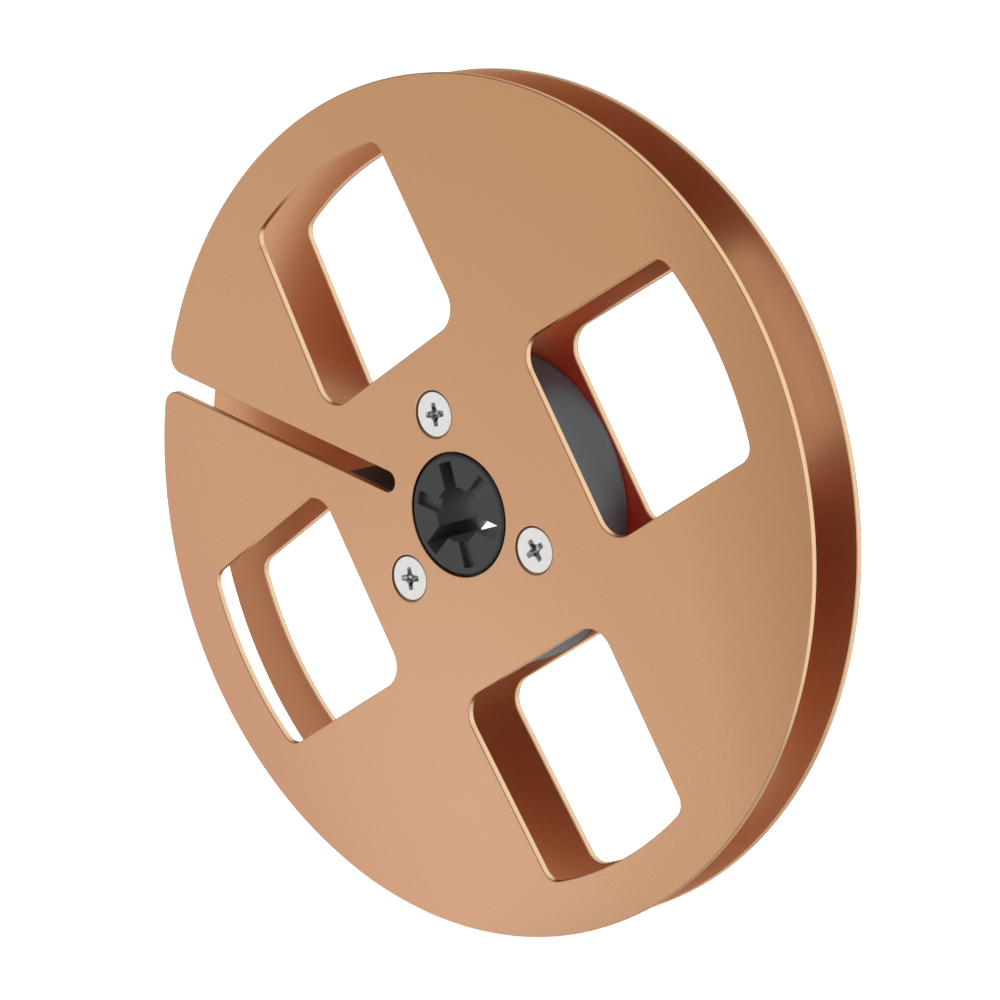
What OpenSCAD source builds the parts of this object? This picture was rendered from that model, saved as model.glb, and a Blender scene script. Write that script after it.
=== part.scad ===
// Metal tape reel for quarter-inch tape: two windowed flanges screwed to a keyed plastic hub.
// The reel stands upright: it spins about Y, and its front faces -Y. The origin is on the
// spindle axis, half way between the two flanges. Sizes are in millimetres and degrees.

/* [Reel] */
// Outside diameter of both flanges
reel_d = 127; // [120:1:180]
// Clear width between the flanges, where the tape winds
tape_gap = 9.4; // [7:0.1:14]
// Direction of the threading slot, seen from the front, counted up from the right
slot_dir = 168; // [0:1:359]

/* [Flanges] */
// Thickness of each flange
flange_t = 1.1; // [0.8:0.05:2]
// Diameter of the hole in the middle of each flange
eye_d = 18.5; // [17.6:0.1:21]
// Chamfer round both edges of the rim
rim_chamfer = 0.15; // [0.05:0.05:0.35]

/* [Windows] */
// Width of the band between the windows and the rim
rim_band = 8; // [5:0.5:12]
// Distance from the reel's centre to the straight inner edge of a window
window_in = 24; // [23.5:0.5:30]
// Distance from a window's centre line to the side that is parallel to it
window_side = 16; // [12:0.25:16.5]
// Distance from a window's centre line to the side nearer the threading slot, at the inner edge
window_lean_side = 15.6; // [12:0.2:16.4]
// Angle at which the side nearer the threading slot leans towards the centre line
window_lean = 3; // [0:0.5:8]
// Radius of the two corners near the hub
window_in_r = 4; // [2:0.25:6]
// Radius of the two corners near the rim
window_out_r = 2.6; // [1:0.2:5]

/* [Threading slot] */
// Width of the slot in the front flange
slot_w = 3.2; // [2:0.1:4.5]
// Distance from the reel's centre to the slot's round inner end
slot_tip = 13; // [12:0.5:20]
// Radius of the corners where the slot opens at the rim
slot_mouth_r = 2.6; // [1:0.1:4]

/* [Hub] */
// Diameter of the drum that the tape winds on
drum_d = 47.4; // [42:0.2:47.6]
// Chamfer round both edges of the drum
drum_chamfer = 0.3; // [0.1:0.1:0.6]
// Radial clearance between a boss of the hub and the hole in its flange
boss_clear = 0.35; // [0.1:0.05:0.5]
// Height of the hub's end faces above the outer faces of the flanges
boss_rise = 0.15; // [0:0.05:0.6]
// Chamfer round the edge of each end face
boss_chamfer = 0.3; // [0.1:0.05:0.4]
// Diameter of the spindle bore
bore_d = 8.2; // [7.6:0.1:9]
// Diameter of the circle on which the keyways and the recesses end
key_d = 15.8; // [14:0.2:16.4]
// Width of the three keyways that run right through
keyway_w = 2.35; // [1.5:0.05:2.4]
// Width of the three shallow recesses between the keyways
recess_w = 2.1; // [1.5:0.1:2.6]
// Depth of the shallow recesses
recess_depth = 1; // [0.5:0.1:2]

/* [Tape slit in the drum] */
// Radius of the corners where the slit below the threading slot opens in the drum
slit_mouth_r = 0.5; // [0.2:0.1:1.2]

/* [Coring of the hub] */
// Thickness of the walls round the drum, the bosses and the slit
wall_t = 1.8; // [1.4:0.1:2.4]
// Thickness of the face behind the front flange
web_t = 2; // [1.2:0.1:4]
// Wall of plastic round each screw hole
screw_wall = 2.8; // [1.6:0.2:3]

/* [Screws] */
// Diameter of the circle that the screws lie on
screw_pcd = 30; // [28:0.5:34]
// Diameter of the screw heads
head_d = 6.7; // [5.6:0.1:7.4]
// Diameter of the screw shanks
screw_d = 3.5; // [2.5:0.1:4]
// Distance between the tips of two opposite screws
screw_gap = 1.1; // [0.5:0.1:2.5]
// Width across the wings of the cross recess
cross_span = 3.6; // [2.6:0.1:4.2]
// Width of one wing of the cross recess
cross_w = 1; // [0.6:0.05:1.2]
// Depth of the cross recess
cross_depth = 1.3; // [0.8:0.1:1.8]

/* [Hidden] */
$fn = 96;

copper = [0.78, 0.58, 0.42];
plastic = [0.16, 0.16, 0.17];
plated = [0.86, 0.87, 0.88];

// A cut runs past the surface that it starts from by this much
past = 1;
// A corner round stands this far past the sides that it joins, so that it crosses them cleanly
round_over = 0.005;
// Depth of a screw head below the flange, and height of the straight edge above its cone
head_sink = 0.2;
head_land = 0.05;
// Clearance all round a screw in its hole
screw_clear = 0.02;
// Chamfer at the end of a screw
tip_chamfer = 0.4;
// How far each screw was turned when it was driven home, clockwise from the front
front_turns = [80, 84, 53];
rear_turns = [21, 65, 48];

rim_r = reel_d / 2;
gap_z = tape_gap / 2;
face_z = gap_z + flange_t;
boss_z = face_z + boss_rise;
boss_r = eye_d / 2 - boss_clear;
drum_r = drum_d / 2;
key_r = key_d / 2;
// Keyways and screws lie in three directions, with the shallow recesses between them,
// one of them in line with the threading slot
key_step = 360 / 3;
screw_dirs = [for (i = [0:2]) slot_dir + key_step * (i - 0.5)];
recess_dirs = [for (i = [0:2]) slot_dir + key_step * i];
// The windows lie evenly round the reel, with the threading slot half way between two
window_step = 360 / 4;

// Turns a shape drawn flat, with its front up, so that it stands with its front towards -Y
module upright() {
    rotate([90, 0, 0]) children();
}

// Places a shape at a distance from the spindle axis, in a direction seen from the front
module out_at(dir, r) {
    rotate(dir) translate([r, 0]) children();
}

// Outline of one window, along +X, with the leaning side at +Y. Its body ends at the points
// where the corner rounds touch the sides, and near the rim at the centres of the rounds.
module window_outline() {
    out_r = rim_r - rim_band;
    lean_n = [sin(window_lean), cos(window_lean)];
    lean_t = [cos(window_lean), -sin(window_lean)];
    lean_d = lean_n * [window_in, window_lean_side];
    in_x = window_in + window_in_r;
    round_d = out_r - window_out_r;
    straight_y = window_out_r - window_side;
    in_straight = [in_x, window_in_r - window_side];
    in_lean = [in_x, (lean_d - window_in_r - lean_n.x * in_x) / lean_n.y];
    out_straight = [sqrt(round_d * round_d - straight_y * straight_y), straight_y];
    lean_k = lean_d - window_out_r;
    out_lean = lean_n * lean_k + lean_t * sqrt(round_d * round_d - lean_k * lean_k);
    // The outer arc is cut from a wedge, whose ends lie at these shares of the rounds' distance
    wedge_in = 0.9;
    wedge_out = 1.2;
    polygon([
        [window_in, in_straight.y],
        [in_x, -window_side],
        [out_straight.x, -window_side],
        out_straight,
        out_lean,
        out_lean + lean_n * window_out_r,
        in_lean + lean_n * window_in_r,
        [window_in, in_lean.y]
    ]);
    for (centre = [in_straight, in_lean])
        translate(centre) circle(window_in_r + round_over);
    for (centre = [out_straight, out_lean])
        translate(centre) circle(window_out_r + round_over);
    intersection() {
        circle(out_r);
        polygon([
            out_straight * wedge_in,
            out_straight * wedge_out,
            out_lean * wedge_out,
            out_lean * wedge_in
        ]);
    }
}

// The four windows, in two mirrored pairs about the threading slot
module windows() {
    for (away = [window_step / 2, window_step * 3 / 2]) {
        rotate(slot_dir + away) mirror([0, 1]) window_outline();
        rotate(slot_dir - away) window_outline();
    }
}

// Outline of the threading slot, cut into a disc of that radius: round at its inner end, and
// with rounded corners where it opens. The flange's slot and the drum's slit both have it.
module slot_outline(disc_r, mouth_r) {
    end_x = slot_tip + slot_w / 2;
    corner_y = slot_w / 2 + mouth_r;
    corner_d = disc_r - mouth_r;
    corner_x = sqrt(corner_d * corner_d - corner_y * corner_y);
    reach = (disc_r + past) / corner_d;
    rotate(slot_dir) {
        translate([end_x, 0]) circle(slot_w / 2);
        translate([end_x, -slot_w / 2]) square([disc_r - end_x, slot_w]);
        difference() {
            polygon([
                [corner_x, -corner_y],
                [corner_x * reach, -corner_y * reach],
                [corner_x * reach, corner_y * reach],
                [corner_x, corner_y]
            ]);
            for (side = [-1, 1])
                translate([corner_x, side * corner_y]) circle(mouth_r + round_over);
        }
    }
}

// Hole for one countersunk screw, down from the outer face of a flange
module screw_hole() {
    mouth_r = head_d / 2 + head_sink + head_land + screw_clear;
    hole_r = screw_d / 2 + screw_clear;
    cone_h = mouth_r - hole_r;
    translate([0, 0, face_z - cone_h])
        cylinder(h = cone_h + past, r1 = hole_r, r2 = mouth_r + past);
    cylinder(h = face_z, r = hole_r);
}

// A countersunk screw with a cross recess, its head just below the outer face of a flange
module screw(turn) {
    top_z = face_z - head_sink;
    cone_z = top_z - head_land;
    head_r = head_d / 2;
    shank_r = screw_d / 2;
    end_z = screw_gap / 2;
    rotate(turn) difference() {
        rotate_extrude() polygon([
            [0, end_z],
            [shank_r - tip_chamfer, end_z],
            [shank_r, end_z + tip_chamfer],
            [shank_r, cone_z - head_r + shank_r],
            [head_r, cone_z],
            [head_r, top_z],
            [0, top_z]
        ]);
        translate([0, 0, top_z - cross_depth]) cross_recess();
    }
}

// Cross recess, its wings drawn in towards the bottom
module cross_recess() {
    tall = cross_depth + past;
    intersection() {
        cylinder(h = tall, r1 = cross_w, r2 = cross_w + (cross_span / 2 - cross_w) * tall / cross_depth);
        linear_extrude(tall) {
            square([cross_span * 2, cross_w], center = true);
            square([cross_w, cross_span * 2], center = true);
        }
    }
}

// One flange, with its outer face up and no threading slot
module flange_plate() {
    difference() {
        rotate_extrude() polygon([
            [eye_d / 2, gap_z],
            [rim_r - rim_chamfer, gap_z],
            [rim_r, gap_z + rim_chamfer],
            [rim_r, face_z - rim_chamfer],
            [rim_r - rim_chamfer, face_z],
            [eye_d / 2, face_z]
        ]);
        translate([0, 0, gap_z - past]) linear_extrude(flange_t + 2 * past) windows();
        for (dir = screw_dirs) out_at(dir, screw_pcd / 2) screw_hole();
    }
}

// Outline of one keyway or recess: a bar along +X that ends on a circle
module key_outline(width) {
    intersection() {
        circle(key_r);
        translate([0, -width / 2]) square([key_r, width]);
    }
}

// The pockets that are cored out of the hub behind its front face
module core_outline() {
    difference() {
        circle(drum_r - wall_t);
        circle(boss_r + wall_t);
        for (dir = screw_dirs)
            out_at(dir, screw_pcd / 2) circle(screw_d / 2 + screw_wall);
        for (dir = concat(screw_dirs, [recess_dirs[1], recess_dirs[2]]))
            rotate(dir) translate([0, -wall_t / 2]) square([drum_r, wall_t]);
        rotate(slot_dir) translate([0, -slot_w / 2 - wall_t]) square([drum_r, slot_w + 2 * wall_t]);
    }
}

// Body of the hub: the drum between the flanges, and a boss through each of them
module hub_blank() {
    rotate_extrude() polygon([
        [0, -boss_z],
        [boss_r - boss_chamfer, -boss_z],
        [boss_r, -boss_z + boss_chamfer],
        [boss_r, -gap_z],
        [drum_r - drum_chamfer, -gap_z],
        [drum_r, -gap_z + drum_chamfer],
        [drum_r, gap_z - drum_chamfer],
        [drum_r - drum_chamfer, gap_z],
        [boss_r, gap_z],
        [boss_r, boss_z - boss_chamfer],
        [boss_r - boss_chamfer, boss_z],
        [0, boss_z]
    ]);
}

module front_flange() {
    color(copper) upright() difference() {
        flange_plate();
        translate([0, 0, gap_z - past]) linear_extrude(flange_t + 2 * past)
            slot_outline(rim_r, slot_mouth_r);
    }
}

module rear_flange() {
    color(copper) upright() mirror([0, 0, 1]) flange_plate();
}

module hub() {
    color(plastic) upright() difference() {
        hub_blank();
        translate([0, 0, -boss_z - past]) cylinder(h = 2 * (boss_z + past), r = bore_d / 2);
        for (dir = screw_dirs)
            translate([0, 0, -boss_z - past]) linear_extrude(2 * (boss_z + past))
                rotate(dir) key_outline(keyway_w);
        for (dir = recess_dirs)
            for (end = [0, 1])
                mirror([0, 0, end]) translate([0, 0, boss_z - recess_depth])
                    linear_extrude(recess_depth + past) rotate(dir) key_outline(recess_w);
        for (dir = screw_dirs)
            for (end = [0, 1])
                mirror([0, 0, end]) out_at(dir, screw_pcd / 2) screw_hole();
        translate([0, 0, -gap_z - past]) linear_extrude(tape_gap + 2 * past)
            slot_outline(drum_r, slit_mouth_r);
        translate([0, 0, -gap_z - past]) linear_extrude(tape_gap + past - web_t) core_outline();
    }
}

module front_screw(i) {
    color(plated) upright() out_at(screw_dirs[i], screw_pcd / 2) screw(-front_turns[i] - screw_dirs[i]);
}

module rear_screw(i) {
    color(plated) upright() mirror([0, 0, 1])
        out_at(screw_dirs[i], screw_pcd / 2) screw(rear_turns[i] - screw_dirs[i]);
}

front_flange();
rear_flange();
hub();
front_screw(0);  // front_screw_1
front_screw(1);  // front_screw_2
front_screw(2);  // front_screw_3
rear_screw(0);  // rear_screw_1
rear_screw(1);  // rear_screw_2
rear_screw(2);  // rear_screw_3
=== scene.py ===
"""Looks of a metal tape reel that stands upright: two windowed flanges of satin copper-coloured
metal, a dark moulded hub between them, and three plated screws in each flange."""

import math

import bmesh
import bpy
from mathutils import Matrix, Vector


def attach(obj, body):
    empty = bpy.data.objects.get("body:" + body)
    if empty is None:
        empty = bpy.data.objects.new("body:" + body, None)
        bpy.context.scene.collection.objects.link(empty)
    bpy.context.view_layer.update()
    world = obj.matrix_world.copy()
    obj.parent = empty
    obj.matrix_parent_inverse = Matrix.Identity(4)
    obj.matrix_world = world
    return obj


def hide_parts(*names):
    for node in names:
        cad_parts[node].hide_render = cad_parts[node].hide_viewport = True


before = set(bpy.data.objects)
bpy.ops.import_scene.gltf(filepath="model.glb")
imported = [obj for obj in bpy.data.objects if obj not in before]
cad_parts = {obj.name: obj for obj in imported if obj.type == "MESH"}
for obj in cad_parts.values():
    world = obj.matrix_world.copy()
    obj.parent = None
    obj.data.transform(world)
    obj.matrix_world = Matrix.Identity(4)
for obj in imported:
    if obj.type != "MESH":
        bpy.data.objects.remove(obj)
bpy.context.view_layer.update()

MM = 0.001

# Sizes of the CAD flanges and screws that the pieces built here repeat, in millimetres and degrees
RIM_R = 63.5
GAP_Y = 4.7
FACE_Y = 5.8
EYE_R = 9.25
WINDOW_OUT = 55.5
WINDOW_IN = 24.0
WINDOW_SIDE = 16.0
LEAN_SIDE = 15.6
LEAN = 3.0
WINDOW_IN_R = 4.0
WINDOW_OUT_R = 2.6
SLOT_DIR = 168.0
SLOT_W = 3.2
SLOT_TIP = 13.0
MOUTH_R = 2.6
WINDOWS_FROM_SLOT = (45, 135)
SCREW_DIRS = (108.0, 228.0, 348.0)
SCREW_RING_R = 15.0
HOLE_MOUTH_R = 3.62
HEAD_R = 3.35
HEAD_Y = 5.6
SHANK_R = 1.75
SCREW_END_Y = 0.55

# How far each screw's cross is turned, in degrees
FRONT_TURNS = (80.0, 84.0, 53.0)
REAR_TURNS = (21.0, 65.0, 48.0)

# Radius of the rounded edges of each flange, on its outer face and on the gap's side
FRONT_EDGES = (0.16, 0.1)
REAR_EDGES = (0.3, 0.2)
FACE_EDGE_STEPS = 5
GAP_EDGE_STEPS = 4

# Chamfers at the mouth of a countersink and at the point of a screw, and the edge of a head
SINK_CHAMFER = 0.06
POINT_CHAMFER = 0.2
HEAD_EDGE = 0.14
HEAD_EDGE_STEPS = 4

# Rings of a screw's cross: depth below the head, reach and half width of a wing, and the notch
CROSS_RINGS = ((0, 1.8, 0.5, 0.85), (0.1, 1.66, 0.42, 0.74), (0.85, 0.85, 0.26, 0.4))
CROSS_DEPTH = 1.1

# The end of a wing of the cross: its length, and its width at the start and at the tip, as shares
WING_END = 0.1
WING_END_WIDTHS = (0.85, 0.6)

# Degrees from one point to the next on an outline
CORNER_STEP = 7.5
RIM_STEP = 1.5
EYE_STEP = 5
HEAD_STEP = 6

# Places of the finishes in a flange's list
COPPER, EDGE, CUT, INNER, SINK = range(5)

# Textures: how fine the noise is, its detail and its roughness, and the depth of its bumps in mm
GRAIN, GRAIN_DEPTH = (2600, 2, 0.6), 0.012
CUTTER_MARKS, CUTTER_DEPTH = (5200, 2, 0.5), 0.006
PITS, PIT_DEPTH = (4200, 3, 0.6), 0.01
PLATING_MARKS, PLATING_DEPTH = (6000, 2, 0.5), 0.004
DRIFT_CLOUDS = (17, 3, 0.5)
CUT_CLOUDS = (90, 2, 0.5)
PLASTIC_CLOUDS = (60, 3, 0.5)
PLATING_CLOUDS = (700, 3, 0.5)
PAINTED_GLINTS = (1900, 2, 0.5)

# Roughness of each finish where its texture is lowest, and what the texture adds
SATIN_ROUGH = (0.37, 0.06)
CUT_ROUGH = (0.26, 0.1)
SINK_ROUGH = (0.3, 0.1)
PLASTIC_ROUGH = (0.38, 0.12)
ZINC_ROUGH = (0.22, 0.12)

# How much the painted light and shade drifts per metre, the clouds in that drift, and the grain's
# share of a colour
SHADE_DRIFT_WAY = (3.4, 0, 7.5)
DRIFT_CLOUD_SHARE = 0.35
GRAIN_SHARE = 0.35

# Tint of the metal where the eye grazes it, on flat and cut faces and on rounded edges
GRAZED_TINT = (0.75, 0.55, 0.42, 1)
GRAZED_EDGE_TINT = (0.16, 0.11, 0.08, 1)

# How strong the painted shade, painted reflection and painted light on the outer faces are, the
# painted shade low on the left inside, and a sink's marks
RIGHT_SHADE_SHARE = 0.6
LOW_LEFT_REFLECTION_SHARE = 0.8
PAINTED_LIGHT_SHARE = 0.4
FRONT_INNER_SHADE = 0.3
REAR_INNER_SHADE = 1.0
SINK_MARK_SHARE = 0.3

# Middle of the painted light on the faces and of the painted highlight in the spindle socket, in
# millimetres
PAINTED_LIGHT_MIDDLE = (0, -FACE_Y, -33)
PAINTED_HIGHLIGHT_MIDDLE = (-4.1, 1.8, -0.5)

# The room that the metal mirrors: its bright and its dim direction, and its level where it is dim
BRIGHT_WAY = (0.669, 0.743, 0.0)
DIM_WAY = (-0.743, 0.669, 0.0)
ROOM_DIM = 0.6

# Keeps the room's level defined straight up and down, where both directions give nothing
NOT_ZERO = 1e-6

# The floor: half its width in metres, its roughness, and its own light for the camera
FLOOR_HALF = 12.0
FLOOR_ROUGH = 0.9
FLOOR_GLOW = 0.55

# Where the floor mirrors the room from, and the shade beside the reel's foot, in millimetres
ROOM_MIDDLE = (60, 55, 0)
FOOT_SHADE = (60, 0, -RIM_R)

# The sky: level and lean of its high part in mirrors, and the level of the soft light
HIGH_LEVEL = 0.55
HIGH_WAY = (0.2, 0.45, 0)
SOFT_LEVEL = 0.62

# The lamps, in metres and watts
KEY_LAMP = {"place": (-0.9, -1.2, 1.3), "size": 1.4, "power": 14}
FILL_LAMP = {"place": (1.3, 0.12, 0.14), "size": 0.35, "power": 44}

# The camera, in millimetres and degrees, with its frame's shift as a share and its range in metres
CAMERA_PLACE = (282.1897, -310.6666, 92.2021)
CAMERA_TURNS = (75.803, -0.1142, 39.9562)
SENSOR = 36
LENS = 105.009
SHIFT = (-0.1, 0.1)
CLIP = (0.01, 50)


def linear(red, green, blue):
    """A colour written as a picture shows it, 0 to 255, as the linear colour a shader takes."""
    out = []
    for part in (red, green, blue):
        c = part / 255
        out.append(c / 12.92 if c <= 0.04045 else ((c + 0.055) / 1.055) ** 2.4)
    return (*out, 1.0)


BLACK = (0, 0, 0, 1)
WHITE = (1, 1, 1, 1)

# Copper tones at the low end of the reel, at its high end and in the grain: the two ends differ by
# painted light and shade, and the front flange's inner faces are painted lighter
FACE_TONES = (linear(222, 175, 142), linear(206, 158, 115), linear(198, 150, 112))
FRONT_INNER_TONES = (linear(238, 184, 148), linear(244, 191, 152), linear(230, 176, 140))
REAR_INNER_TONES = (linear(216, 162, 126), linear(226, 172, 133), linear(210, 153, 117))

# Copper tones of the painted shade, painted reflection and painted light on the faces, and the
# painted glow of the red painted reflection
FACE_RIGHT_SHADE = linear(172, 122, 84)
FACE_LOW_LEFT_REFLECTION = linear(212, 160, 130)
FACE_PAINTED_LIGHT = linear(229, 183, 153)
INNER_LOW_LEFT_SHADE = linear(183, 126, 92)
INNER_RIM_SHADE = linear(190, 134, 97)
INNER_RED_REFLECTION = linear(224, 134, 103)
RED_REFLECTION_GLOW = (0.08, 0.0, 0.0, 1)

# Tones of the other finishes
CUT_TONES = (linear(243, 205, 164), linear(252, 217, 180))
SINK_TONES = (linear(205, 158, 120), linear(112, 76, 54))
SINK_MARKS = linear(140, 100, 74)
PLASTIC_TONES = (linear(39, 39, 41), linear(46, 46, 48))
# Painted shade, darker and cooler, on the left of the drum
DRUM_LEFT_SHADE = linear(34, 42, 47)
# Painted light, paler, in the spindle socket
SOCKET_PAINTED_LIGHT = linear(60, 61, 63)
# A painted highlight where the light falls into the spindle socket
SOCKET_PAINTED_HIGHLIGHT = linear(94, 95, 97)
ZINC_TONES = (linear(217, 219, 220), linear(237, 236, 231))
# Painted shade and painted glints down in a screw's cross
CROSS_SHADE_AND_GLINT_TONES = (linear(112, 116, 114), linear(216, 221, 215))
FLOOR_GREY = linear(225, 225, 225)


class Value:
    """A socket that the maths of a material uses like a number."""

    def __init__(self, nodes, socket):
        self.nodes = nodes
        self.socket = socket

    def maths(self, operation, first, second):
        return self.nodes.node("ShaderNodeMath", {"operation": operation}, {0: first, 1: second})

    def __add__(self, other):
        return self.maths("ADD", self, other)

    __radd__ = __add__

    def __sub__(self, other):
        return self.maths("SUBTRACT", self, other)

    def __rsub__(self, other):
        return self.maths("SUBTRACT", other, self)

    def __mul__(self, other):
        return self.maths("MULTIPLY", self, other)

    __rmul__ = __mul__

    def __truediv__(self, other):
        return self.maths("DIVIDE", self, other)

    def __abs__(self):
        return self.nodes.node("ShaderNodeMath", {"operation": "ABSOLUTE"}, {0: self})


class Nodes:
    """The nodes of a material or of the sky."""

    def __init__(self, tree):
        self.tree = tree

    def put(self, socket, value):
        if isinstance(value, Value):
            self.tree.links.new(value.socket, socket)
        else:
            socket.default_value = value

    def node(self, kind, settings, inputs, output=0):
        made = self.tree.nodes.new(kind)
        for key, value in settings.items():
            if key == "ramp":
                stops = made.color_ramp.elements
                while len(stops) < len(value):
                    stops.new(0.5)
                for stop, (place, level) in zip(stops, value):
                    stop.position = place
                    stop.color = (level, level, level, 1)
            else:
                setattr(made, key, value)
        for key, value in inputs.items():
            self.put(made.inputs[key], value)
        return Value(self, made.outputs[output])

    def ramp(self, value, *stops):
        return self.node("ShaderNodeValToRGB", {"ramp": stops}, {0: value})

    def mix(self, mask, low, high):
        return self.node("ShaderNodeMix", {"data_type": "RGBA"}, {0: mask, 6: low, 7: high}, 2)

    def vectors(self, operation, first, second, output="Vector"):
        settings = {"operation": operation}
        return self.node("ShaderNodeVectorMath", settings, {0: first, 1: second}, output)

    def along(self, vector, direction):
        """How far a vector goes in a direction."""
        return self.vectors("DOT_PRODUCT", vector, direction, "Value")

    def seen_by(self, ray):
        """1 for rays of one kind, such as Is Camera Ray, and 0 for the others."""
        return self.node("ShaderNodeLightPath", {}, {}, ray)

    def room(self, vector):
        """How bright the room is that way: bright front left and back right, dim across."""
        bright = self.along(vector, BRIGHT_WAY)
        across = self.along(vector, DIM_WAY)
        share = bright * bright / (bright * bright + across * across + NOT_ZERO)
        return ROOM_DIM + (1 - ROOM_DIM) * share


class Finish(Nodes):
    """A material under construction, with one Principled shader."""

    def __init__(self, name):
        self.material = bpy.data.materials.new(name)
        self.material.use_nodes = True
        super().__init__(self.material.node_tree)
        self.shader = self.tree.nodes["Principled BSDF"]

    def set(self, **values):
        for key, value in values.items():
            self.put(self.shader.inputs[key.replace("_", " ")], value)
        return self.material

    def place(self):
        return self.node("ShaderNodeTexCoord", {}, {}, "Object")

    def fade(self, length, *stops, reach=100):
        """A level that changes with a length: each stop is millimetres, up to reach, and level."""
        return self.ramp(length / (reach * MM), *[(mm / reach, level) for mm, level in stops])

    def across(self, direction, *stops):
        """A level that changes from the spindle outwards in a direction."""
        return self.fade(self.along(self.place(), direction), *stops)

    def around(self, centre, *stops, reach=100):
        """A level that changes with the distance from a point in millimetres."""
        point = tuple(mm * MM for mm in centre)
        away = self.vectors("DISTANCE", self.place(), point, "Value")
        return self.fade(away, *stops, reach=reach)

    def noise(self, texture):
        """Smooth noise of about 0 to 1, whose patches are about 1 / scale metres across."""
        scale, detail, roughness = texture
        inputs = {"Vector": self.place(), "Scale": scale, "Detail": detail, "Roughness": roughness}
        return self.node("ShaderNodeTexNoise", {}, inputs)

    def rough(self, levels, texture):
        """Roughness that goes up with a texture."""
        low, more = levels
        return low + more * texture

    def bump(self, height, depth):
        inputs = {"Height": height, "Distance": depth * MM, "Strength": 1.0}
        return self.node("ShaderNodeBump", {}, inputs)


def satin_copper(name, tones):
    """Blasted and anodised metal, whose colour drifts from the reel's low end to its high end as
    painted light and shade.
    """
    low, high, grain_tone = tones
    f = Finish(name)
    clouds = DRIFT_CLOUD_SHARE * (f.noise(DRIFT_CLOUDS) - 0.5)
    # Painted light and shade: the tone moves from the low end's to the high end's across the reel
    drift = 0.5 + f.along(f.place(), SHADE_DRIFT_WAY) + clouds
    grain = f.noise(GRAIN)
    tone = f.mix(f.ramp(drift, (0, 0), (1, 1)), low, high)
    dark = f.ramp(grain, (0.3, 0), (0.7, 1))
    f.tone = f.mix(dark * GRAIN_SHARE, tone, grain_tone)
    f.set(
        Base_Color=f.tone,
        Metallic=1.0,
        Roughness=f.rough(SATIN_ROUGH, grain),
        Normal=f.bump(grain, GRAIN_DEPTH),
        Specular_Tint=GRAZED_TINT,
    )
    return f


def face_copper():
    """The outer faces, with painted shade darker towards the right, a painted reflection pinker low
    on the left, and painted light pale below the middle.
    """
    f = satin_copper("face_copper", FACE_TONES)
    # Painted shade on the right, a painted reflection low on the left, and painted light below the
    # middle
    right = f.across((1, 0, 0.2), (42, 0), (66, 1))
    tone = f.mix(right * RIGHT_SHADE_SHARE, f.tone, FACE_RIGHT_SHADE)
    low_left = f.across((-1, 0, -0.8), (50, 0), (80, 1))
    tone = f.mix(low_left * LOW_LEFT_REFLECTION_SHARE, tone, FACE_LOW_LEFT_REFLECTION)
    pale = f.around(PAINTED_LIGHT_MIDDLE, (12, 1), (40, 0))
    return f.set(Base_Color=f.mix(pale * PAINTED_LIGHT_SHARE, tone, FACE_PAINTED_LIGHT))


def edge_copper():
    """The rounded edges, darker than the faces where the eye grazes them."""
    f = satin_copper("edge_copper", FACE_TONES)
    return f.set(Specular_Tint=GRAZED_EDGE_TINT)


def inner_copper(name, tones, left_shade):
    """The faces that look into the gap, with painted shade low on the left and by the rim on the
    upper right, and a deep red painted reflection with a painted glow beside the hub on the right."""
    f = satin_copper(name, tones)
    left = f.across((-0.5, 0, -0.9), (26, 0), (42, 1)) * f.across((-1, 0, 0), (5, 0.35), (30, 1))
    tone = f.mix(left * left_shade, f.tone, INNER_LOW_LEFT_SHADE)
    rim = f.around((0, 0, 0), (57, 1), (61, 0.55), (63, 0))
    upper = f.across((0, 0, 1), (12, 0), (17, 1), (38, 1), (43, 0))
    right = f.across((1, 0, 0), (25, 0), (35, 1))
    tone = f.mix(rim * upper * right, tone, INNER_RIM_SHADE)
    # Painted reflection: deep red beside the hub on the right, with a painted glow
    red = f.around((0, 0, 0), (25, 1), (38, 0)) * f.across((1, 0, 0.3), (10, 0), (20, 1))
    return f.set(
        Base_Color=f.mix(red, tone, INNER_RED_REFLECTION),
        Emission_Color=f.mix(red, BLACK, RED_REFLECTION_GLOW),
        Emission_Strength=1.0,
    )


def cut_copper():
    """The cut edges of the flanges, brighter than the faces, with fine marks of the cutter."""
    f = Finish("cut_copper")
    marks = f.noise(CUTTER_MARKS)
    return f.set(
        Base_Color=f.mix(f.noise(CUT_CLOUDS), *CUT_TONES),
        Metallic=1.0,
        Roughness=f.rough(CUT_ROUGH, marks),
        Normal=f.bump(marks, CUTTER_DEPTH),
        Specular_Tint=GRAZED_TINT,
    )


def sunk_copper():
    """The countersinks around the screw heads, in shade on the side that the light comes from."""
    f = Finish("sunk_copper")
    marks = f.noise(CUTTER_MARKS)
    facing = f.node("ShaderNodeTexCoord", {}, {}, "Normal")
    shade = f.ramp(f.along(facing, (0.6, 0, -0.25)) + 0.5, (0.35, 0), (0.8, 1))
    return f.set(
        Base_Color=f.mix(marks * SINK_MARK_SHARE, f.mix(shade, *SINK_TONES), SINK_MARKS),
        Metallic=1.0,
        Roughness=f.rough(SINK_ROUGH, marks),
        Normal=f.bump(marks, CUTTER_DEPTH),
    )


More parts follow.
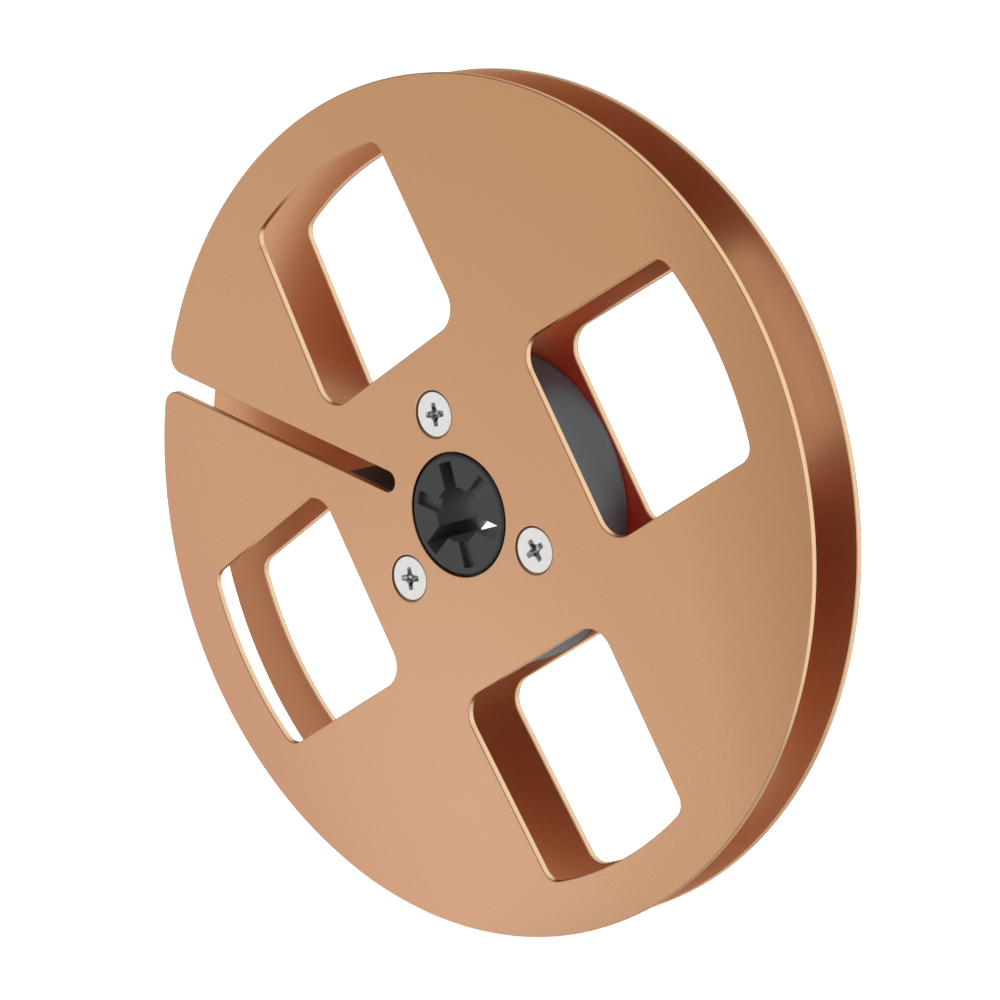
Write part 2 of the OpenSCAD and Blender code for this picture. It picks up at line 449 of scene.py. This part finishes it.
def moulded_plastic():
    """Dark grey moulded plastic with a fine spark-eroded texture, painted shade darker and cooler
    on the left of the drum, painted light paler in the spindle socket, and a painted highlight
    where the light falls in."""
    f = Finish("moulded_plastic")
    pits = f.noise(PITS)
    tone = f.mix(f.noise(PLASTIC_CLOUDS), *PLASTIC_TONES)
    tone = f.mix(f.across((-1, 0, 0), (12, 0), (20, 1)), tone, DRUM_LEFT_SHADE)
    off_axis = f.vectors("MULTIPLY", f.place(), (1, 0, 1))
    radius = f.vectors("DISTANCE", off_axis, (0, 0, 0), "Value")
    bore = f.fade(radius, (8.0, 1), (8.3, 0), reach=10)
    below = f.fade(abs(f.along(f.place(), (0, 1, 0))), (5.75, 1), (5.92, 0), reach=10)
    tone = f.mix(bore * below, tone, SOCKET_PAINTED_LIGHT)
    # Painted highlight where the light falls into the socket
    lit = f.around(PAINTED_HIGHLIGHT_MIDDLE, (0.3, 1), (2, 0), reach=10)
    return f.set(
        Base_Color=f.mix(lit, tone, SOCKET_PAINTED_HIGHLIGHT),
        Roughness=f.rough(PLASTIC_ROUGH, pits),
        Normal=f.bump(pits, PIT_DEPTH),
    )


def bright_zinc():
    """Bright plating on the screws, mottled on the heads, with painted shade and painted glints
    down in the crosses.
    """
    f = Finish("bright_zinc")
    clouds = f.noise(PLATING_CLOUDS)
    depth = HEAD_Y * MM - abs(f.along(f.place(), (0, 1, 0)))
    # Painted shade down in the cross, broken by painted glints
    down = f.fade(depth, (0.02, 0), (0.2, 1), reach=1)
    glints = f.ramp(f.noise(PAINTED_GLINTS), (0.42, 0), (0.6, 1))
    return f.set(
        Base_Color=f.mix(down, f.mix(clouds, *ZINC_TONES), f.mix(glints, *CROSS_SHADE_AND_GLINT_TONES)),
        Metallic=1.0,
        Roughness=f.rough(ZINC_ROUGH, clouds),
        Normal=f.bump(f.noise(PLATING_MARKS), PLATING_DEPTH),
    )


def polar(angle):
    return Vector((math.cos(math.radians(angle)), math.sin(math.radians(angle))))


def arc(centre, radius, start, end, into, step=CORNER_STEP):
    """Points on an arc, each with its way into the metal: 1 away from the centre, -1 to it."""
    count = max(2, math.ceil(abs(end - start) / step))
    turns = [start + (end - start) * i / count for i in range(count + 1)]
    return [(Vector(centre) + polar(a) * radius, polar(a) * into) for a in turns]


def turned(outline, angle, mirrored=False):
    """An outline turned about the spindle, after a flip across its own centre line if mirrored."""
    turn = Matrix.Rotation(math.radians(angle), 2)
    flip = Matrix(((1, 0), (0, -1))) if mirrored else Matrix.Identity(2)
    moved = [(turn @ flip @ point, turn @ flip @ into) for point, into in outline]
    return moved[::-1] if mirrored else moved


def ring_outline(centre, radius, into, step):
    return arc(centre, radius, 0, 360, into, step)[:-1]


def window_outline():
    """One window, along +X, with its leaning side at the top."""
    lean_n = Vector((math.sin(math.radians(LEAN)), math.cos(math.radians(LEAN))))
    lean_t = Vector((lean_n.y, -lean_n.x))
    lean_d = lean_n.dot(Vector((WINDOW_IN, LEAN_SIDE)))
    in_x = WINDOW_IN + WINDOW_IN_R
    low_in = Vector((in_x, WINDOW_IN_R - WINDOW_SIDE))
    high_in = Vector((in_x, (lean_d - WINDOW_IN_R - lean_n.x * in_x) / lean_n.y))
    reach = WINDOW_OUT - WINDOW_OUT_R
    low_y = WINDOW_OUT_R - WINDOW_SIDE
    low_out = Vector((math.sqrt(reach**2 - low_y**2), low_y))
    lean_k = lean_d - WINDOW_OUT_R
    high_out = lean_n * lean_k + lean_t * math.sqrt(reach**2 - lean_k**2)
    low_turn = math.degrees(math.atan2(low_out.y, low_out.x))
    high_turn = math.degrees(math.atan2(high_out.y, high_out.x))
    return (
        arc(low_in, WINDOW_IN_R, 180, 270, 1)
        + arc(low_out, WINDOW_OUT_R, -90, low_turn, 1)
        + arc((0, 0), WINDOW_OUT, low_turn, high_turn, 1, RIM_STEP)[1:-1]
        + arc(high_out, WINDOW_OUT_R, high_turn, 90 - LEAN, 1)
        + arc(high_in, WINDOW_IN_R, 90 - LEAN, 180, 1)
    )


def slotted_rim():
    """The rim of the front flange, broken by the threading slot."""
    half = SLOT_W / 2
    corner_y = half + MOUTH_R
    corner = Vector((math.sqrt((RIM_R - MOUTH_R) ** 2 - corner_y**2), corner_y))
    mouth = math.degrees(math.atan2(corner.y, corner.x))
    outline = (
        arc((0, 0), RIM_R, mouth, 360 - mouth, -1, RIM_STEP)
        + arc((corner.x, -corner.y), MOUTH_R, -mouth, 90, -1)[1:]
        + arc((SLOT_TIP + half, 0), half, -90, -270, 1)
        + arc(corner, MOUTH_R, -90, mouth, -1)[:-1]
    )
    return turned(outline, SLOT_DIR)


def quarter(radius, steps):
    """A quarter round, as depths into the metal and drops from the face."""
    turns = [math.radians(90 * i / steps) for i in range(steps + 1)]
    return [(radius * (1 - math.sin(t)), radius * (1 - math.cos(t))) for t in turns]


def rounded_wall(face_edge, gap_edge):
    """Levels of a cut edge, as depth into the metal, height, and finish of the band below."""
    face = [(into, FACE_Y - drop, EDGE) for into, drop in quarter(face_edge, FACE_EDGE_STEPS)]
    gap = [(into, GAP_Y + drop, CUT) for into, drop in quarter(gap_edge, GAP_EDGE_STEPS)]
    face[-1] = (*face[-1][:2], CUT)
    return face + gap[::-1]


def cut_walls(bm, outline, levels, side):
    """The walls of one cut-out, level by level. Returns the edges of its first and last rings."""
    rings = []
    for into, height, finish in levels:
        ring = []
        for point, normal in outline:
            p = point + normal * into
            ring.append(bm.verts.new((p.x * MM, -side * height * MM, p.y * MM)))
        rings.append((ring, finish))
    count = len(outline)
    for (high, finish), (low, _) in zip(rings, rings[1:]):
        for i in range(count):
            j = (i + 1) % count
            face = bm.faces.new((high[i], high[j], low[j], low[i]))
            face.material_index = finish
            face.smooth = True
    return [
        [bm.edges.get((ring[i], ring[(i + 1) % count])) for i in range(count)]
        for ring, _ in (rings[0], rings[-1])
    ]


def fill(bm, edges, way, finish):
    """A flat face between closed edges, that faces along Y by the sign of way."""
    made = bmesh.ops.triangle_fill(bm, edges=edges, use_beauty=True, normal=(0, way, 0))
    for face in (f for f in made["geom"] if isinstance(f, bmesh.types.BMFace)):
        face.material_index = finish
        face.smooth = False


def finish_mesh(bm, name, materials):
    """Turns a built shape into a piece that rides on the reel."""
    bmesh.ops.recalc_face_normals(bm, faces=bm.faces)
    mesh = bpy.data.meshes.new(name)
    bm.to_mesh(mesh)
    bm.free()
    for material in materials:
        mesh.materials.append(material)
    obj = bpy.data.objects.new(name, mesh)
    bpy.context.collection.objects.link(obj)
    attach(obj, "root")
    return obj


def flange(node, side, rim, edges, materials):
    """One flange, with broken edges all round. The side is 1 at the front and -1 at the rear."""
    bm = bmesh.new()
    wall = rounded_wall(*edges)
    cone = [
        (SINK_CHAMFER, FACE_Y, CUT),
        (0, FACE_Y - SINK_CHAMFER, SINK),
        (GAP_Y - FACE_Y + SINK_CHAMFER, GAP_Y, SINK),
    ]
    cuts = [(rim, wall), (ring_outline((0, 0), EYE_R, 1, EYE_STEP), wall)]
    for away in WINDOWS_FROM_SLOT:
        cuts.append((turned(window_outline(), SLOT_DIR + away, True), wall))
        cuts.append((turned(window_outline(), SLOT_DIR - away), wall))
    for angle in SCREW_DIRS:
        hole = ring_outline(polar(angle) * SCREW_RING_R, HOLE_MOUTH_R, 1, CORNER_STEP)
        cuts.append((hole, cone))
    outer, gap_side = [], []
    for outline, levels in cuts:
        first, last = cut_walls(bm, outline, levels, side)
        outer += first
        gap_side += last
    fill(bm, outer, -side, COPPER)
    fill(bm, gap_side, side, INNER)
    obj = finish_mesh(bm, f"{node}_plate", materials)
    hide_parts(node)


def cross_ring(depth, reach, half, notch):
    """One level of a screw's cross, as points in the head's own plane and their height."""
    start, tip = WING_END_WIDTHS
    wing = ((notch, -half), (reach - WING_END, -half * start), (reach, -half * tip))
    wing += tuple((x, -z) for x, z in wing[::-1])
    turns = [Matrix.Rotation(math.radians(a), 2) for a in (0, 90, 180, 270)]
    return [turn @ Vector(point) for turn in turns for point in wing], HEAD_Y - depth


def screw(node, side, direction, turn, material):
    """A flat-headed screw with a crosshead, drawn in with its head just under the flange's face."""
    bm = bmesh.new()
    centre = polar(direction) * SCREW_RING_R
    turning = Matrix.Rotation(math.radians(turn), 2)

    def ring(points, height):
        places = [centre + turning @ p for p in points]
        return [bm.verts.new((p.x * MM, -side * height * MM, p.y * MM)) for p in places]

    def wall(high, low, smooth):
        for i in range(len(high)):
            j = (i + 1) % len(high)
            bm.faces.new((high[i], high[j], low[j], low[i])).smooth = smooth

    def edges(points):
        return [bm.edges.get((points[i - 1], points[i])) for i in range(len(points))]

    profile = [(HEAD_R - into, HEAD_Y - drop) for into, drop in quarter(HEAD_EDGE, HEAD_EDGE_STEPS)]
    profile += [
        (SHANK_R, HEAD_Y - HEAD_EDGE - HEAD_R + SHANK_R),
        (SHANK_R, SCREW_END_Y + POINT_CHAMFER),
        (SHANK_R - POINT_CHAMFER, SCREW_END_Y),
    ]
    turns = range(0, 360, HEAD_STEP)
    body = [ring([polar(a) * radius for a in turns], height) for radius, height in profile]
    for high, low in zip(body, body[1:]):
        wall(high, low, True)
    bm.faces.new(body[-1])
    cross = [ring(*cross_ring(*level)) for level in CROSS_RINGS]
    for high, low in zip(cross, cross[1:]):
        wall(high, low, False)
    deep = bm.verts.new((centre.x * MM, -side * (HEAD_Y - CROSS_DEPTH) * MM, centre.y * MM))
    for i in range(len(cross[-1])):
        bm.faces.new((cross[-1][i - 1], cross[-1][i], deep))
    fill(bm, edges(body[0]) + edges(cross[0]), -side, 0)
    obj = finish_mesh(bm, f"{node}_crosshead", [material])
    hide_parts(node)


def wear(node, material):
    """Gives a CAD node its finish."""
    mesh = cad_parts[node].data
    mesh.materials.clear()
    mesh.materials.append(material)


def reel():
    """The two flanges, the hub and the six screws, each in its own finish."""
    face, edge, cut, sunk = face_copper(), edge_copper(), cut_copper(), sunk_copper()
    front_inner = inner_copper("front_inner_copper", FRONT_INNER_TONES, FRONT_INNER_SHADE)
    rear_inner = inner_copper("rear_inner_copper", REAR_INNER_TONES, REAR_INNER_SHADE)
    flange("front_flange", 1, slotted_rim(), FRONT_EDGES, (face, edge, cut, front_inner, sunk))
    rear_rim = ring_outline((0, 0), RIM_R, -1, RIM_STEP)
    flange("rear_flange", -1, rear_rim, REAR_EDGES, (face, edge, cut, rear_inner, sunk))
    zinc = bright_zinc()
    wear("hub", moulded_plastic())
    for i, direction in enumerate(SCREW_DIRS):
        screw(f"front_screw_{i + 1}", 1, direction, -FRONT_TURNS[i], zinc)
        screw(f"rear_screw_{i + 1}", -1, direction, REAR_TURNS[i], zinc)


def floor():
    """A wide pale floor that the reel stands on. The metal sees the levels of the room in it."""
    z = -RIM_R * MM
    corners = [(x * FLOOR_HALF, y * FLOOR_HALF, z) for x, y in ((-1, -1), (1, -1), (1, 1), (-1, 1))]
    mesh = bpy.data.meshes.new("floor")
    mesh.from_pydata(corners, [], [(0, 1, 2, 3)])
    obj = bpy.data.objects.new("floor", mesh)
    bpy.context.collection.objects.link(obj)
    f = Finish("floor")
    mirrored = f.seen_by("Is Glossy Ray")
    way = f.vectors("SUBTRACT", f.place(), tuple(mm * MM for mm in ROOM_MIDDLE))
    level = f.room(way) * f.around(FOOT_SHADE, (15, 0.6), (60, 1), reach=1000)
    mesh.materials.append(
        f.set(
            Base_Color=f.mix(mirrored, FLOOR_GREY, BLACK),
            Roughness=FLOOR_ROUGH,
            Specular_IOR_Level=0.0,
            Emission_Color=FLOOR_GLOW * f.seen_by("Is Camera Ray") + level * mirrored,
            Emission_Strength=1.0,
        )
    )


def sky():
    """White where the camera looks past the floor, soft light, and the room in mirrors."""
    world = bpy.data.worlds.new("sky")
    bpy.context.scene.world = world
    world.use_nodes = True
    n = Nodes(world.node_tree)
    way = n.node("ShaderNodeTexCoord", {}, {}, "Generated")
    height = n.ramp(n.along(way, (0, 0, 1)), (0.05, 0), (0.45, 1))
    high = HIGH_LEVEL + n.along(way, HIGH_WAY)
    mirrored = n.seen_by("Is Glossy Ray")
    level = mirrored * (n.room(way) * (1 - height) + high * height) + (1 - mirrored) * SOFT_LEVEL
    seen = n.seen_by("Is Camera Ray")
    back = n.tree.nodes["Background"]
    n.put(back.inputs["Color"], WHITE)
    n.put(back.inputs["Strength"], seen + (1 - seen) * level)


def lamp(name, place, size, power):
    """A round soft lamp that shines on the spindle and doesn't show in the metal."""
    data = bpy.data.lights.new(name, "AREA")
    data.shape = "DISK"
    data.size = size
    data.energy = power
    obj = bpy.data.objects.new(name, data)
    obj.location = place
    obj.rotation_mode = "QUATERNION"
    obj.rotation_quaternion = (-Vector(place)).to_track_quat("-Z", "Y")
    obj.visible_glossy = False
    bpy.context.collection.objects.link(obj)


def camera():
    """The camera stands where the outlines of the flanges in the photograph put it."""
    data = bpy.data.cameras.new("camera")
    data.sensor_width = SENSOR
    data.lens = LENS
    data.shift_x, data.shift_y = SHIFT
    data.clip_start, data.clip_end = CLIP
    obj = bpy.data.objects.new("camera", data)
    obj.location = Vector(CAMERA_PLACE) * MM
    obj.rotation_euler = [math.radians(a) for a in CAMERA_TURNS]
    bpy.context.collection.objects.link(obj)
    bpy.context.scene.camera = obj


reel()
floor()
sky()
lamp("key_lamp", **KEY_LAMP)
lamp("fill_lamp", **FILL_LAMP)
camera()
bpy.context.scene.view_settings.view_transform = "Standard"
